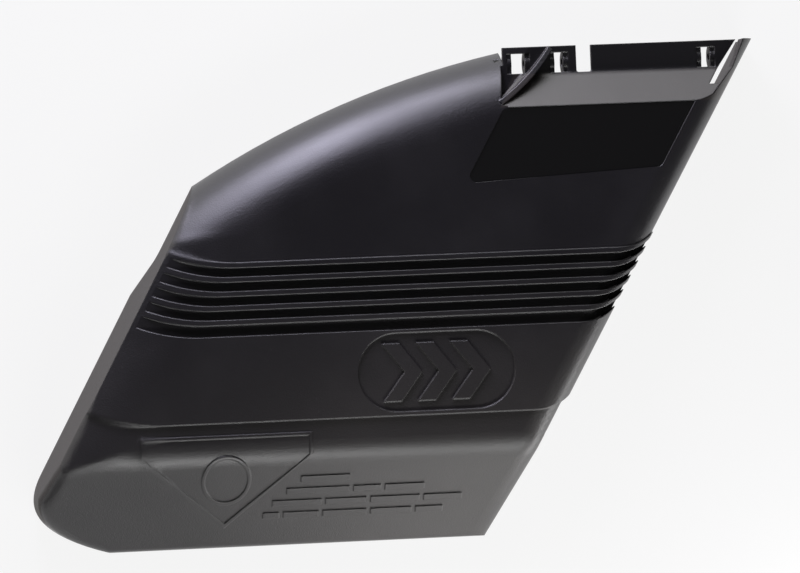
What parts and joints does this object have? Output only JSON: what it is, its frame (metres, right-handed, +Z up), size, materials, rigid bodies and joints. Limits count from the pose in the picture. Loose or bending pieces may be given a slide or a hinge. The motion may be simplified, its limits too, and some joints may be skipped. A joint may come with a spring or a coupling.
{
  "type": "mower discharge deflector",
  "caption": "Skewed moulded hood that hinges on a mower deck and turns cuttings down, with grooves, an oval recess, a sloping skirt and hinge ears for a rod.",
  "frame": {"origin": "middle of the hinge bore, on its axis", "axes": "+X along the hinge towards the open end for the rod, +Y towards the mower deck, +Z up, square to the panel and the resting rim"},
  "size_m": [0.5369, 0.3552, 0.0708],
  "materials": {
    "black_plastic": "moulded black plastic with a fine grain, smooth at the hinge and the label seat"
  },
  "bodies": {
    "root": {"deflector_shield": "black_plastic"}
  },
  "joints": []
}
